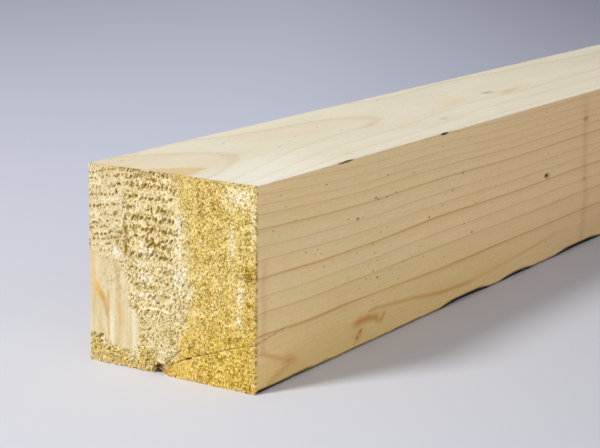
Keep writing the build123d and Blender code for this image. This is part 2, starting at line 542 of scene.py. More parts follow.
def pit_depths(x, z, kinds, upper, clump):
    """How deep each point lies in a pit of the torn wood, outside the smooth knot."""
    lined = rows_of_pits()
    return blend(
        0.95 * pits(x, z, *GOLD_PITS, 0.30 + 0.3 * (clump - 0.5)),
        (pits(x, z, *COARSE_PITS), kinds.coarse),
        (np.maximum(lined, 0.5 * pits(x, z, *ROUND_PITS)), kinds.coarse * upper),
        (lined, kinds.rows),
        (pits(x, z, *COMB_PITS), kinds.comb),
        (pits(x, z, *TOE_PITS), kinds.toe),
        (0.6 * pits(x, z, *HEART_PITS), kinds.heart),
    )


def late_wood_ridge(x, z, radius, start, end):
    """A stretch of one growth ring that stands out of the torn end."""
    wavy = 0.8 * (fractal(x / 3.0, z / 3.0, 13, 2) - 0.5)
    ridge = np.exp(-((np.hypot(x - PITH_X, z - PITH_Z) - radius + wavy) / 0.6) ** 2)
    return ridge * ramp(x, start - 1, start + 1) * (1 - ramp(x, end - 2, end))


def end_relief(x, z, kinds):
    """The near end's depth below the saw cut, its flakes from gap to tip, and its pits."""
    knot, rows, coarse, _, comb, toe, heart = kinds
    upper = ramp(z, 50.0, 58.0)
    clump = fractal(x / 4.5, z / 3.5, 31)
    top = flake_tops(x, z, kinds)
    hole = pit_depths(x, z, kinds, upper, clump)
    dotted = ramp(z + 0.3 * x, 22.0, 31.0) * ramp(x, -46.0, -39.0)
    blurred = 0.9 * pits(x, z, *KNOT_PITS) * dotted
    hole = blend(hole, (blurred, knot))
    reach = blend(0.6, (1.1, coarse), (0.5, rows), (0.55, comb), (1.25, toe), (0.75, heart), (0.15, knot))
    depth = 0.15 + reach * (1 - top) + (0.3 + 0.4 * reach + 0.4 * rows) * hole
    depth = depth + 0.4 * (clump - 0.3) * (1 - rows) - 0.25 * rows
    depth = blend(depth, (0.75 - 0.15 * fractal(x / 0.8, z / 9.0, 43) + 0.5 * blurred, knot))
    top = np.clip(top + 0.36 * (clump - 0.5) + 0.10 * coarse * upper, 0, 1)
    for stretch in RIDGES:
        ridge = late_wood_ridge(x, z, *stretch) * (1 - 0.6 * hole)
        depth = depth - 0.5 * ridge
        top = np.clip(top + 0.5 * ridge, 0, 1)
    return np.clip(depth, 0.03, None), top, hole


def tinted(colours, top):
    """The colour between gap, body and tip for each flake height: the gap partly painted shade, the tip a
    painted highlight.
    """
    gap, body, tip = colours
    return mix(mix(gap, body, ramp(top, 0.0, 0.36)), tip, ramp(top, 0.34, 0.72))


def end_colours(x, z, top, hole, kinds):
    """The colour of each point of the near end."""
    knot, rows, coarse, gold, _, toe, heart = kinds
    fleck = np.random.default_rng(74).random(np.shape(x))
    blotch = fractal(x / 6.0, z / 6.0, 71)
    pale, dark = painted(x, z, spots=PALE_SPOTS), painted(x, z, spots=DARK_SPOTS)
    top = top + (0.07 + 0.2 * rows) * (fleck - 0.5) + 0.22 * pale * (0.4 + top) - 0.3 * dark
    top = np.clip(top, 0, 1)
    hole = np.clip(hole * (1 - 0.4 * pale) + 0.5 * dark * (1 - top), 0, 1)
    deep = ramp(z, 50.0, 60.0) * coarse
    low = ramp(-z + 0.5 * x, -38.0, 18.0)
    golden = mix(tinted(TORN_GOLD, top), tinted(TORN_LOW_GOLD, top), low)
    rim = ramp(z, 94.5, 98.5) * ramp(x, -42.0, -32.0) * (1 - ramp(x, 12.0, 30.0))
    # Pits painted darker: partly the wood's own darker colour, partly painted shade
    pitted = hole * (0.78 + 0.5 * deep + 0.3 * rows + 0.2 * toe)
    return layered(
        tinted(TORN_CREAM, top),
        (tinted(TORN_DEEP, top), 0.8 * deep),
        (golden, np.clip(gold + 0.35 * (blotch - 0.5), 0, 1)),
        (tinted(TORN_ROWS, top), rows),
        (ROW_BAND, 0.4 * rows * row_bands(x, z)),
        (tinted(TORN_TOE, top), toe),
        (tinted(TORN_HEART, top), 0.8 * heart),
        # Paler tips in the pale patches, a painted highlight
        (PALE_TIP, 0.65 * pale * ramp(top, 0.15, 0.5)),
        (RIM_GOLD, 0.4 * rim * (1 - top)),
        (PIT_DARK, np.clip(pitted, 0, 1)),
        (knot_colours(x, z, hole), knot),
    )


def knot_colours(x, z, hole):
    """The colour of the smooth spike knot: cream with upright streaks and a resin stain."""
    streak = 0.6 * fractal(x / 2.4, z / 30.0, 73) + 0.4 * fractal(x / 0.8, z / 14.0, 72)
    stains = [(tint, strength * stroke(x, z, points, width))
              for tint, strength, width, points in KNOT_STREAKS]
    # The knot's pits are painted darker, partly as painted shade
    return layered(KNOT_CREAM, (KNOT_SHADE, ramp(streak, 0.36, 0.70)), *stains, (KNOT_PIT, 0.6 * hole))


def groove(x, t):
    """How far the crumbled pith has hollowed the bottom face."""
    reach = GROOVE_RADIUS ** 2 - (x - PITH_X) ** 2 - np.clip(t - GROOVE_LENGTH, 0, None) ** 2
    return np.clip(np.sqrt(np.clip(reach, 0, None)) - GROOVE_SUNK, 0, None)


def rounded(x, z):
    """Moves points of the end that lie past an eased corner onto its arc."""
    cx = np.clip(x, LEFT + EASE, RIGHT - EASE)
    cz = np.clip(z, EASE, HEIGHT - EASE)
    far = np.hypot(x - cx, z - cz)
    in_corner = (x != cx) & (z != cz)
    pull = np.where(in_corner, EASE / np.maximum(far, EASE), 1.0)
    return cx + (x - cx) * pull, cz + (z - cz) * pull


def quads(a):
    """The four corners of each cell of a grid, a row for each."""
    corners = np.stack([a[:-1, :-1], a[1:, :-1], a[1:, 1:], a[:-1, 1:]], 2)
    return corners.reshape((-1, 4) + a.shape[2:])


def border(a):
    """The outer points of a grid: bottom, right, top and left edge."""
    return np.concatenate([a[:-1, 0], a[-1, :-1], a[:0:-1, -1], a[0, :0:-1]])


def stitch(outer, outer_around, inner, inner_around):
    """Triangles between two closed loops whose places around the stick rise together."""
    corners, arounds = [], []
    a = np.append(outer_around, outer_around[0] + 4 * SIDE)
    b = np.append(inner_around, inner_around[0] + 4 * SIDE)
    outer, inner = np.append(outer, outer[0]), np.append(inner, inner[0])
    i = j = 0
    while i < len(a) - 1 or j < len(b) - 1:
        if j == len(b) - 1 or (i < len(a) - 1 and a[i + 1] <= b[j + 1]):
            corners.append((outer[i], outer[i + 1], inner[j]))
            arounds.append((a[i], a[i + 1], b[j]))
            i += 1
        else:
            corners.append((outer[i], inner[j + 1], inner[j]))
            arounds.append((a[i], b[j + 1], b[j]))
            j += 1
    return np.array(corners), np.array(arounds)


class Stick:
    """The stick's vertices with their paint, its faces and its texture map."""

    def __init__(self):
        self.places, self.faces, self.uv = [], [], []
        self.paint = {"wood": [], "ring": [], "line": [], "torn": [], "check": []}
        self.count = 0

    def add(self, x, t, z, **paint):
        """Adds vertices of one shape of array and returns their numbers in that shape."""
        self.places.append(np.stack([x, t, z], -1).reshape(-1, 3))
        for name, value in paint.items():
            parts = (3,) if name == "wood" else ()
            full = np.broadcast_to(value, x.shape + parts)
            self.paint[name].append(full.reshape((-1,) + parts))
        numbers = np.arange(self.count, self.count + x.size).reshape(x.shape)
        self.count += x.size
        return numbers

    def add_faces(self, corners, uv):
        """Adds rows of corners with their map corners."""
        self.faces += corners.tolist()
        self.uv.append(uv.reshape(-1, 2))


# The near end's grid and its relief, which the stick and its torn fibres share
SIDE_STEPS = np.linspace(0.0, 1.0, END_CELLS + 1)
END_X, END_Z = np.meshgrid(LEFT + WIDTH * SIDE_STEPS, HEIGHT * SIDE_STEPS, indexing="ij")
END_KINDS = end_kinds(END_X, END_Z)
END_DEPTH, END_TOP, END_HOLE = end_relief(END_X, END_Z, END_KINDS)


def end_checks(x, z):
    """The distance to the nearest drying check on the near end, and how far it gapes."""
    away = np.minimum.reduce([
        distance(x, z, MAIN_CHECK) + 0.05, distance(x, z, SHORT_CHECK), distance(x, z, FAINT_CHECK) + 0.1,
    ])
    away = np.minimum(away, FAR_OFF) - 0.25 * stroke(x, z, CHECK_ELBOW, 0.6)
    gape = stroke(x, z, CHECK_ELBOW, 0.5) + 0.35 * stroke(x, z, MAIN_CHECK, 0.3)
    gape = gape + 0.4 * stroke(x, z, SHORT_CHECK, 0.35) + 0.15 * stroke(x, z, FAINT_CHECK, 0.3)
    return away, gape


def build_near_end(stick):
    """Adds the torn near end and returns its rim, bottom edge first, and the rim's places around."""
    x, z, kinds = END_X, END_Z, END_KINDS
    check, gape = end_checks(x, z)
    pith = spot(x, z, (-7.8, 1.2), (3.6, 1.5))
    depth = END_DEPTH + 2.5 * gape + 1.6 * pith
    colour = layered(
        end_colours(x, z, END_TOP, END_HOLE, kinds),
        (PITH_RESIN, 0.7 * spot(x, z, (-3.2, 2.4), (3.0, 2.0))),
        # The crumbled pith's hole, painted nearly black as its shade
        (PITH_HOLE_SHADE, 0.95 * np.clip(1.3 * pith, 0, 1) ** 1.5),
    )
    up = z + groove(x, 0.0) * np.clip(1 - z / 12.0, 0, 1)
    rx, rz = rounded(x, up)
    t = np.clip(END_LEAN * up + depth, 0.0, None)
    torn = 1.0 - 0.85 * kinds.knot - 0.25 * kinds.rows - 0.2 * kinds.gold - 0.15 * kinds.toe
    ring = ring_number(x, np.zeros_like(x), z)
    numbers = stick.add(rx, t, rz, wood=colour, ring=ring, line=0.0, torn=torn, check=check)
    uv = end_map(x, z, NEAR_END_SCALE, NEAR_END_CORNER)
    stick.add_faces(quads(numbers)[:, ::-1], quads(uv)[:, ::-1])
    return border(numbers), np.arange(4 * END_CELLS) * END_STEP


def face_steps(count, special=()):
    """Places across one long face, from corner to corner, close together by the arrises."""
    steps = list(np.linspace(EASE + 2.2, SIDE - EASE - 2.2, count))
    for start, end, step in special:
        steps = [s for s in steps if not start - 1.0 < s < end + 1.0]
        steps += list(np.arange(start, end + 0.01, step))
    steps += [EASE, EASE + 0.3, EASE + 0.9, EASE + 1.5]
    steps += [SIDE - EASE - 1.0, SIDE - EASE - 0.3, SIDE - EASE]
    return np.array(sorted(steps))


def section():
    """The stick's outline: x and z of each column, and its place around, from the lower left.
    Inside, a place is a complex number, across and up."""
    steps = [
        face_steps(10, [(38.0, 47.0, 0.9)]),
        face_steps(32, [(3.4, 19.0, 0.8), (23.0, 28.0, 0.4)]),
        face_steps(32),
        face_steps(10),
    ]
    places, arounds = [], []
    corner = complex(LEFT, 0.0)
    for k, run in enumerate(steps):
        way = 1j ** k
        places += [corner + way * s for s in run]
        arounds += [k * SIDE + s for s in run]
        corner += way * SIDE
        centre = corner + EASE * (1j * way - way)
        for share in (1 / 3, 2 / 3):
            places.append(centre - 1j * way * rect(EASE, share * pi / 2))
            arounds.append((k + 1) * SIDE + EASE * (2 * share - 1))
    return np.real(places), np.imag(places), np.array(arounds)


def stations():
    """Places along the stick, close together where it shows most."""
    return np.concatenate([
        np.arange(3.5, 30.0, 1.0), np.arange(30.0, 70.0, 2.5), np.arange(70.0, 84.0, 1.0),
        np.arange(84.0, 122.0, 1.3), np.arange(122.0, 174.0, 3.2), np.arange(174.0, 187.0, 1.0),
        np.arange(187.0, 420.0, 4.0), np.arange(420.0, 700.0, 14.0),
        np.linspace(700.0, LENGTH - 0.6, 30), [LENGTH],
    ])


# Knocks and hollows in the right arrises: start, end and depth, as in the solid
KNOCKS = [(71.0, 81.0, 1.2), (176.0, 185.0, 1.0)]
HOLLOWS = [(180.0, 243.0, 1.5), (253.0, 303.0, 0.9), (328.0, 405.0, 1.1)]
# The painted shade in them: start, end and how far it reaches from the arris
KNOCK_SHADE = [(70.0, 90.0, 1.0), (176.0, 187.0, 1.25)]
HOLLOW_SHADE = [(176.0, 247.0, 2.7), (249.0, 306.0, 2.2), (323.0, 410.0, 2.6)]


def bite(t, start, end, depth):
    """How far out of an arris the wood still reaches in one knock or hollow."""
    half = (end - start) / 2
    radius = (half ** 2 + depth ** 2) / (2 * depth)
    return -depth + (t - start - half) ** 2 / (2 * radius)


def recess_shade(past, t, start, end, reach):
    """How dark the painted shade in one knock or hollow is, from how far points lie past its arris."""
    along = 1 - ((2 * t - start - end) / (end - start)) ** 2
    return ramp(past + reach * np.clip(along, 0, 1) ** 0.6, 0.1, 0.7) * (along > 0)


def contact_shadow(past, t):
    """A painted contact shadow: the dark line where the lower right arris meets the floor, thickest by the
    near end.
    """
    corner = ramp(-t, -70.0, -5.0)
    thick = 0.5 * lattice(t / 9.0, 0 * t, 83) + 0.5 * corner
    return (0.7 + 0.3 * corner) * ramp(past + thick, -1.0, -0.5)


def bitten(x, t, z):
    """Pushes the arrises inwards: knocks, hollows and the small chips of a sawn edge.
    Also returns how dark the painted shade in the knocks and hollows and the painted contact shadow have
    made each point."""
    arris_shade = np.zeros_like(x)
    for sx, up in ((1, 1), (1, -1), (-1, 1), (-1, -1)):
        edge_x, edge_z = (RIGHT if sx > 0 else LEFT), (HEIGHT if up > 0 else 0.0)
        past = ((x - edge_x) * sx + (z - edge_z) * up) / sqrt(2)
        near = past > -6.0
        limit = -0.42 - 0.5 * ramp(lattice(t / 5.0, t * 0 + 3.0 * sx + up, 81), 0.55, 1.0)
        if sx > 0:
            lost, shade_spans = (KNOCKS, KNOCK_SHADE) if up > 0 else (HOLLOWS, HOLLOW_SHADE)
            limit = np.minimum.reduce([limit] + [bite(t, *place) for place in lost])
            shades = [recess_shade(past, t, *place) for place in shade_spans]
            if up < 0:
                shades.append(contact_shadow(past, t))
            arris_shade = np.maximum(arris_shade, near * np.maximum.reduce(shades))
        move = np.clip(past - limit, 0, None) / sqrt(2)
        x = np.where(near, x - sx * move, x)
        z = np.where(near, z - up * move, z)
    return x, z, arris_shade


# Growth lines that show strongly: ring number and strength
LINE_STRENGTHS = {
    13: 0.0, 14: 0.06, 15: 0.8, 16: 0.4, 17: 0.3, 18: 0.8, 19: 0.3, 20: 0.25, 21: 0.6, 22: 0.4,
    23: 0.35, 24: 0.3, 25: 0.3,
}

# Tan stains and small knots on the right face, along and up, as painted() takes them
RIGHT_STAIN_STROKES = [
    (0.22, 2.4, [(8.5, 62.0), (7.2, 50.0), (9.0, 38.0), (7.0, 20.0)]),
    (0.5, 1.2, [(3.0, 20.0), (12.0, 16.5), (24.0, 12.0), (33.0, 9.8)]),
    (0.45, 1.5, [(33.0, 8.5), (22.0, 6.0), (12.0, 2.5)]),
    (0.85, 2.0, [(96.0, 13.6), (104.0, 13.6), (112.0, 12.0)]),
    (0.7, 1.6, [(112.0, 10.6), (116.0, 9.6), (119.5, 12.0)]),
    (0.35, 1.2, [(93.0, 5.5), (89.5, 2.0)]),
    (0.6, 0.95, [(104.0, 16.8), (112.0, 17.2), (121.0, 16.2), (148.0, 14.0)]),
    (0.66, 1.0, [(148.0, 14.0), (180.0, 10.0), (215.0, 8.6)]),
    (0.34, 1.0, [(215.0, 8.6), (270.0, 11.0), (330.0, 15.0)]),
    (0.16, 5.0, [(368.0, 100.0), (371.0, 55.0), (375.0, 30.0), (370.0, 0.0)]),
]
RIGHT_STAIN_SPOTS = [
    (0.7, (30.0, 9.8), (6.5, 2.8), -12),
    (0.9, (94.5, 13.6), (6.0, 2.3), 8),
    (0.4, (94.0, 7.2), (4.5, 3.4), 35),
]
# The cracks in the small knot and the faint crease that crosses the right face
RIGHT_MARK_STROKES = [
    (0.3, 0.6, [(92.0, 5.0), (94.0, 7.4), (97.5, 9.4)]),
    (0.25, 0.5, [(96.0, 5.6), (95.6, 8.4)]),
    (0.08, 2.6, [(369.0, 90.0), (371.0, 55.0), (375.0, 30.0), (370.0, 0.0)]),
]

# The golden wedge on the top face by the near end, then its stains and dark dashes: along and across
TOP_WEDGE = [
    (-4.0, -21.0), (7.0, -15.5), (18.0, -7.0), (23.5, -1.5), (26.5, 3.5), (24.0, 6.0), (14.0, 8.4),
    (6.0, 9.4), (-4.0, 11.0),
]
TOP_STAIN_SPOTS = [
    (0.45, (180.0, 3.5), (11.0, 2.0), -17),
    (0.32, (284.0, 0.0), (20.0, 5.0), -10),
    (0.6, (347.0, 6.0), (16.0, 3.2), -8),
]
TOP_MARK_SPOTS = [
    (0.7, (331.0, -0.5), (5.0, 1.8)),
    (0.3, (225.0, 26.0), (4.0, 1.5)),
    (0.3, (16.5, -40.0), (2.5, 0.9), 30),
    (0.3, (36.0, -49.0), (3.0, 0.9), 20),
]


def top_stains(t, x):
    """Tan patches on the top face where a growth layer runs out at the surface."""
    wedge = 0.68 * ramp(inside(t, x, TOP_WEDGE), -0.8, 1.8)
    warm = 0.22 * ramp(-t, -70.0, 0.0) * ramp(-x, -20.0, 10.0)
    return np.maximum.reduce([wedge, warm, painted(t, x, spots=TOP_STAIN_SPOTS)])


def wood_colours(x, t, z, around, side):
    """The colour of the sawn wood of each long face: cream on the top, tan on the right and a mix of the
    two on the others, with painted shade low on the right face further along.
    """
    blotch = fractal(t / 70.0, (around + 7) / 16.0, 91)
    cloud = fractal(t / 160.0, (around + 3) / 40.0, 92)
    golden = np.clip(ramp(-z, -48.0, 0.0) + 0.5 * (blotch - 0.5), 0, 1)
    pink = np.clip(0.8 * ramp(t, 60.0, 420.0) + 0.6 * (cloud - 0.5), 0, 1)
    tan = layered(SIDE_TAN, (SIDE_GOLD, golden), (SIDE_PINK, pink))
    cream = mix(TOP_CREAM, TOP_BLOTCH, np.clip(0.9 * (blotch - 0.42), 0, 1))
    tan_share = np.select([side == TOP_SIDE, side == RIGHT_SIDE], [0.0, 1.0], 0.5)
    colour = mix(cream, tan, tan_share) * (0.97 + 0.07 * cloud)[..., None]
    # Painted shade low on the right face further along
    shaded = 0.12 * (side == RIGHT_SIDE) * ramp(t, 240.0, 420.0) * ramp(-z, -45.0, -5.0)
    pale = 0.7 * (side == TOP_SIDE) * ramp(-t, -110.0, -40.0) * ramp(x, -5.0, 30.0)
    return mix(colour * (1 - shaded)[..., None], TOP_PALE, pale)


def long_colours(x, t, z, around):
    """The colour of each point of the long faces, with its stains and marks."""
    side = (around // SIDE).astype(int) % 4
    on_right, on_top = side == RIGHT_SIDE, side == TOP_SIDE
    stains = painted(t, z, RIGHT_STAIN_STROKES, RIGHT_STAIN_SPOTS)
    return layered(
        wood_colours(x, t, z, around, side),
        (KNOT_TAN, on_right * stains),
        (KNOT_DARK, on_right * painted(t, z, RIGHT_MARK_STROKES)),
        (TOP_STAIN, on_top * top_stains(t, x)),
        (KNOT_DARK, on_top * painted(t, x, spots=TOP_MARK_SPOTS)),
    )


def line_strength(number, t, around):
    """How strongly the growth lines show at each point of the long faces."""
    middles = [k - 0.15 for k in LINE_STRENGTHS]
    line = np.interp(number, middles, list(LINE_STRENGTHS.values()))
    line = line * (0.75 + 0.5 * fractal(t / 60.0, around / 25.0, 95))
    return np.where((around // SIDE).astype(int) % 4 == TOP_SIDE, 0.4 * line + 0.10, line)


def long_surface():
    section_x, section_z, section_around = section()
    x, t = np.meshgrid(section_x, stations())
    z, around = np.broadcast_to(section_z, x.shape), np.broadcast_to(section_around, x.shape)
    wave = ramp(np.minimum(t, LENGTH - t), 0.0, 12.0) * 0.22 * fractal(t / 45.0, around / 22.0, 61)
    waved_x = x - wave * np.sign(x) * (np.abs(x) > RIGHT - 0.01)
    waved_z = z - wave * (z > HEIGHT - 0.01)
    x, z, arris_shade = bitten(waved_x, t, waved_z)
    bottom = (around < SIDE) & (z < 0.3)
    z = np.where(bottom, np.maximum(z, groove(x, t)), z)
    on_right = (around > SIDE) & (around < 2 * SIDE)
    check = np.where(on_right, np.minimum(distance(t, z, RIGHT_CHECK), FAR_OFF), FAR_OFF)
    x = x - 0.9 * np.where(on_right, stroke(t, z, RIGHT_CHECK, 0.28), 0.0)
    return x, t, z, around, arris_shade, check, bottom * groove(x, t)


def build_long_faces(stick, rim, rim_around):
    """Adds the four long faces, stitched to the near end's rim. Returns the last loop."""
    x, t, z, around, arris_shade, check, hollow = long_surface()
    colour = layered(
        long_colours(x, t, z, around),
        # Painted shade in the knocks and hollows, and the painted contact shadow along the lower right
        # arris
        (SHADE_BROWN, 0.97 * arris_shade),
        # Painted shade in the crumbled pith's groove on the bottom face
        (SHADE_BROWN, 0.95 * ramp(hollow, 0.0, 0.4)),
    )
    ring = ring_number(x, t, z)
    line = line_strength(ring, t, around)
    numbers = stick.add(x, t, z, wood=colour, ring=ring, line=line, torn=0.0, check=check)
    closed = np.concatenate([numbers, numbers[:, :1]], 1)
    closed_around = np.concatenate([around, around[:, :1] + 4 * SIDE], 1)
    closed_t = np.concatenate([t, t[:, :1]], 1)
    outward = [0, 3, 2, 1]
    faces, arounds, ts = [quads(a)[:, outward] for a in (closed, closed_around, closed_t)]
    stick.add_faces(faces, long_map(arounds, ts))
    corners, arounds = stitch(rim, rim_around, numbers[0], around[0])
    places = np.concatenate(stick.places)
    stick.add_faces(corners, long_map(arounds, places[corners][:, :, 1]))
    return numbers[-1], around[0]


def build_far_end(stick, loop, loop_around):
    """Adds the plain far end."""
    side = np.linspace(0.02, 0.98, 25)
    x, z = np.meshgrid(LEFT + WIDTH * side, HEIGHT * side, indexing="ij")
    t = np.full_like(x, LENGTH)
    colour = mix(FAR_CREAM, FAR_GOLD, fractal(x / 12.0, z / 12.0, 97))
    ring = ring_number(x, t, z)
    numbers = stick.add(x, t, z, wood=colour, ring=ring, line=0.9, torn=0.0, check=FAR_OFF)
    stick.add_faces(quads(numbers), quads(end_map(x, z, FAR_END_SCALE, FAR_END_CORNER)))
    around = np.concatenate([k * SIDE + SIDE * side[:-1] for k in range(4)])
    corners, _ = stitch(border(numbers), around, loop, loop_around)
    corners = corners[:, ::-1]
    place = np.concatenate(stick.places)[corners]
    uv = end_map(place[:, :, 0], place[:, :, 2], FAR_END_SCALE, FAR_END_CORNER)
    stick.add_faces(corners, uv)


def make_piece(name, places, faces, uv, paint):
    """A new mesh object, its vertices in millimetres as x, t and z, with its texture map and
    the numbers and colours that it keeps for each vertex."""
    mesh = bpy.data.meshes.new(name)
    world = places.copy()
    world[:, 1] += NEAR_Y
    mesh.from_pydata((world * MM).tolist(), [], faces)
    mesh.validate()
    piece = bpy.data.objects.new(name, mesh)
    bpy.context.scene.collection.objects.link(piece)
    layer = mesh.uv_layers.new(name="OFBake")
    layer.uv.foreach_set("vector", uv.astype(np.float32).ravel())
    for key, values in paint.items():
        if values.ndim == 1:
            layer = mesh.attributes.new(key, "FLOAT", "POINT")
            layer.data.foreach_set("value", values.astype(np.float32))
        else:
            layer = mesh.attributes.new(key, "FLOAT_COLOR", "POINT")
            full = np.concatenate([values, np.ones((len(values), 1))], 1)
            layer.data.foreach_set("color", full.astype(np.float32).ravel())
    mesh.shade_smooth()
    return piece


def make_timber():
    """The whole stick as one closed mesh."""
    stick = Stick()
    rim, around = build_near_end(stick)
    loop, loop_around = build_long_faces(stick, rim, around)
    build_far_end(stick, loop, loop_around)
    paint = {name: np.concatenate(values) for name, values in stick.paint.items()}
    places, uv = np.concatenate(stick.places), np.concatenate(stick.uv)
    piece = make_piece("timber", places, stick.faces, uv, paint)
    piece.data.set_sharp_from_angle(angle=radians(55))
    return piece


# Torn fibres that stand up from the near end, in golden and in cream wood, painted darker at their roots as
# shade
FIBRES = 5000
FIBRE_ROOT = (linear(216, 178, 74), linear(240, 214, 156))
FIBRE_TIP = (linear(254, 226, 146), linear(255, 251, 228))
# They crowd within this many cells of the end's rim and keep this far from the pith
FIBRE_RIM = 5
FIBRE_FREE = 6.5


def fibre_seeds():
    """Where the fibres stand, how long and wide they are, which way they lie and how pale they are."""
    rng = np.random.default_rng(101)
    tries = 20 * FIBRES
    i, j = rng.integers(0, END_CELLS + 1, (2, tries))
    knot, rows, coarse, gold, comb, toe, heart = [kind[i, j] for kind in END_KINDS]
    share = 0.10 * coarse + 0.06 * gold + 0.03 * rows + 0.35 * toe - 0.1 * heart - 0.1 * END_HOLE[i, j]
    from_rim = np.minimum.reduce([i, END_CELLS - i, j, END_CELLS - j])
    share = share + 0.45 * (from_rim < FIBRE_RIM)
    share = share * (np.hypot(END_X[i, j] - PITH_X, END_Z[i, j]) > FIBRE_FREE)
    kept = np.flatnonzero(rng.random(tries) < share * (1 - knot))[:FIBRES]
    i, j, coarse, gold, toe, comb = [part[kept] for part in (i, j, coarse, gold, toe, comb)]
    count = len(kept)
    length = rng.uniform(0.7, 1.5, count) * (1 + 0.3 * coarse + 0.6 * toe)
    width = rng.uniform(0.4, 0.8, count) * (1 + 0.2 * coarse + 0.4 * toe)
    way = np.radians(rng.normal(56, 24, count) + 28 * comb + 180 * (rng.random(count) < 0.35))
    tone = np.clip(rng.normal(0.78, 0.18, count) - 0.5 * gold - 0.5 * toe, 0.01, 0.99)
    return END_X[i, j], END_Z[i, j], END_DEPTH[i, j], length, width, way, tone


def fibre_places(x, z, depth, length, width, way):
    """The seven corners of each spike: three at its root, three at its bend and its tip."""
    count = len(x)
    rng = np.random.default_rng(103)

    def onward(place, lean):
        run = np.stack([np.cos(way) * np.sin(lean), -np.cos(lean), np.sin(way) * np.sin(lean)], -1)
        return place + 0.5 * length[:, None] * run

    root = np.stack([x, END_LEAN * z + depth + 0.35, z], -1)
    middle = onward(root, np.radians(rng.uniform(20, 50, count)))
    tip = onward(middle, np.radians(rng.uniform(60, 88, count)))
    flat = np.stack([-np.sin(way), np.zeros(count), np.cos(way)], -1)
    deep = np.array([0.0, 1.0, 0.0])
    corners = []
    for centre, share in ((root, 0.5), (middle, 0.42)):
        for angle in (90.0, 210.0, 330.0):
            out = cos(radians(angle)) * flat - 0.6 * sin(radians(angle)) * deep
            corners.append(centre + share * width[:, None] * out)
    places = np.stack(corners + [tip], 1)
    low = [LEFT + 0.02, 0.02, 0.02]
    high = [RIGHT - 0.02, np.inf, HEIGHT - 0.02]
    return np.clip(places, low, high).reshape(-1, 3)


def make_fibres():
    """The torn fibres: thin spikes that bend over along the torn end, as one mesh."""
    *seeds, tone = fibre_seeds()
    places = fibre_places(*seeds)
    sides = [(0, 1, 4, 3), (1, 2, 5, 4), (2, 0, 3, 5), (3, 4, 6), (4, 5, 6), (5, 3, 6)]
    faces = [tuple(7 * k + c for c in side) for k in range(len(tone)) for side in sides]
    pale, along = np.broadcast_arrays(tone[:, None], [0.1, 0.1, 0.1, 0.5, 0.5, 0.5, 0.95])
    aside = np.array([0.0, 0.01, 0.02, 0.0, 0.01, 0.02, 0.01])
    # Each fibre fades from a darker root, painted shade, to a paler tip
    root_colour, tip_colour = [mix(gold, cream, pale) for gold, cream in (FIBRE_ROOT, FIBRE_TIP)]
    paint = {
        "wood": mix(root_colour, tip_colour, along).reshape(-1, 3),
        "torn": np.full(len(places), 0.5),
        "check": np.full(len(places), FAR_OFF),
    }
    uv = np.stack([0.97 * pale + aside, along], -1).reshape(-1, 2)
    return make_piece("torn_fibres", places, faces, uv[np.concatenate(faces)], paint)


